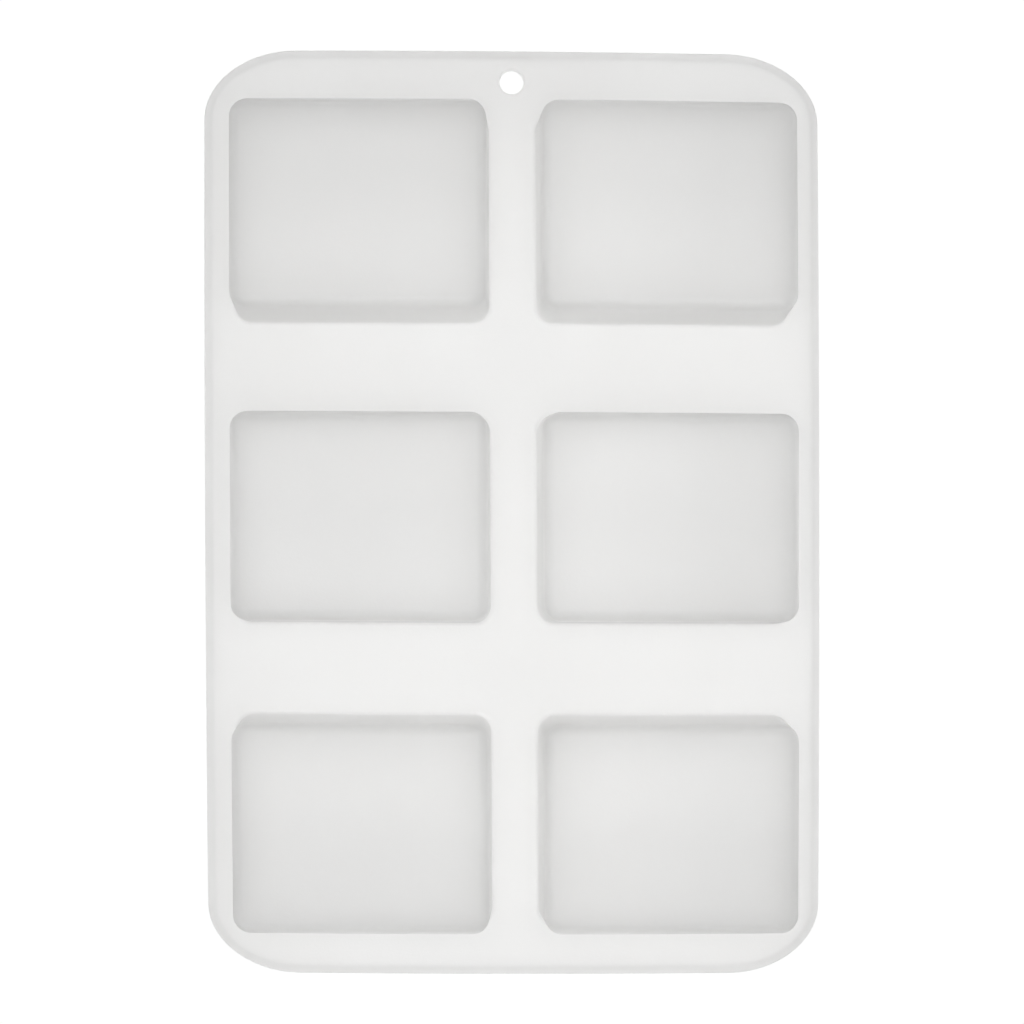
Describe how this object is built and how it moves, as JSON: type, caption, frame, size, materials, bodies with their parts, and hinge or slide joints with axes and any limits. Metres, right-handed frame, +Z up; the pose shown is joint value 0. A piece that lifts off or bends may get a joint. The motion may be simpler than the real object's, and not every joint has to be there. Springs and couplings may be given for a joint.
{
  "type": "silicone soap mould",
  "caption": "Flat rectangular silicone soap mould with rounded corners, rows of deep rectangular pockets, a raised rim and a hanging hole at one end.",
  "frame": {"origin": "centre of the footprint at the plane that the pocket floors stand on", "axes": "+Z up out of the open cavities, +Y along the plate toward the hanging hole, +X across the plate to the right when seen from above"},
  "size_m": [0.18, 0.27, 0.0285],
  "materials": {
    "silicone": "translucent white silicone with a satin surface"
  },
  "bodies": {
    "middle_row": {"deck_middle": "silicone", "rim_middle_left": "silicone", "rim_middle_right": "silicone", "pocket_wall_middle_left": "silicone", "pocket_wall_middle_right": "silicone", "flex_strip_hook_side": "silicone", "flex_strip_plain_side": "silicone"},
    "hook_row": {"deck_hook_end": "silicone", "rim_hook_end": "silicone", "pocket_wall_hook_left": "silicone", "pocket_wall_hook_right": "silicone"},
    "plain_row": {"deck_plain_end": "silicone", "rim_plain_end": "silicone", "pocket_wall_plain_left": "silicone", "pocket_wall_plain_right": "silicone"},
    "floor_hook_left": {"pocket_floor_hook_left": "silicone"},
    "floor_hook_right": {"pocket_floor_hook_right": "silicone"},
    "floor_middle_left": {"pocket_floor_middle_left": "silicone"},
    "floor_middle_right": {"pocket_floor_middle_right": "silicone"},
    "floor_plain_left": {"pocket_floor_plain_left": "silicone"},
    "floor_plain_right": {"pocket_floor_plain_right": "silicone"}
  },
  "joints": [
    {"name": "fold_hook_row", "type": "hinge", "parent": "middle_row", "child": "hook_row", "pos_m": [0, 0.04175, 0.026], "axis": [1, 0, 0], "range_deg": [-35, 90], "stiffness_Nm_per_rad": 0.015, "deforming": ["flex_strip_hook_side"]},
    {"name": "fold_plain_row", "type": "hinge", "parent": "middle_row", "child": "plain_row", "pos_m": [0, -0.04575, 0.026], "axis": [-1, 0, 0], "range_deg": [-35, 90], "stiffness_Nm_per_rad": 0.015, "deforming": ["flex_strip_plain_side"]},
    {"name": "press_hook_left", "type": "slide", "parent": "hook_row", "child": "floor_hook_left", "axis": [0, 0, 1], "range_m": [0, 0.01], "stiffness_N_per_m": 300},
    {"name": "press_hook_right", "type": "slide", "parent": "hook_row", "child": "floor_hook_right", "axis": [0, 0, 1], "range_m": [0, 0.01], "stiffness_N_per_m": 300},
    {"name": "press_middle_left", "type": "slide", "parent": "middle_row", "child": "floor_middle_left", "axis": [0, 0, 1], "range_m": [0, 0.01], "stiffness_N_per_m": 300},
    {"name": "press_middle_right", "type": "slide", "parent": "middle_row", "child": "floor_middle_right", "axis": [0, 0, 1], "range_m": [0, 0.01], "stiffness_N_per_m": 300},
    {"name": "press_plain_left", "type": "slide", "parent": "plain_row", "child": "floor_plain_left", "axis": [0, 0, 1], "range_m": [0, 0.01], "stiffness_N_per_m": 300},
    {"name": "press_plain_right", "type": "slide", "parent": "plain_row", "child": "floor_plain_right", "axis": [0, 0, 1], "range_m": [0, 0.01], "stiffness_N_per_m": 300}
  ]
}
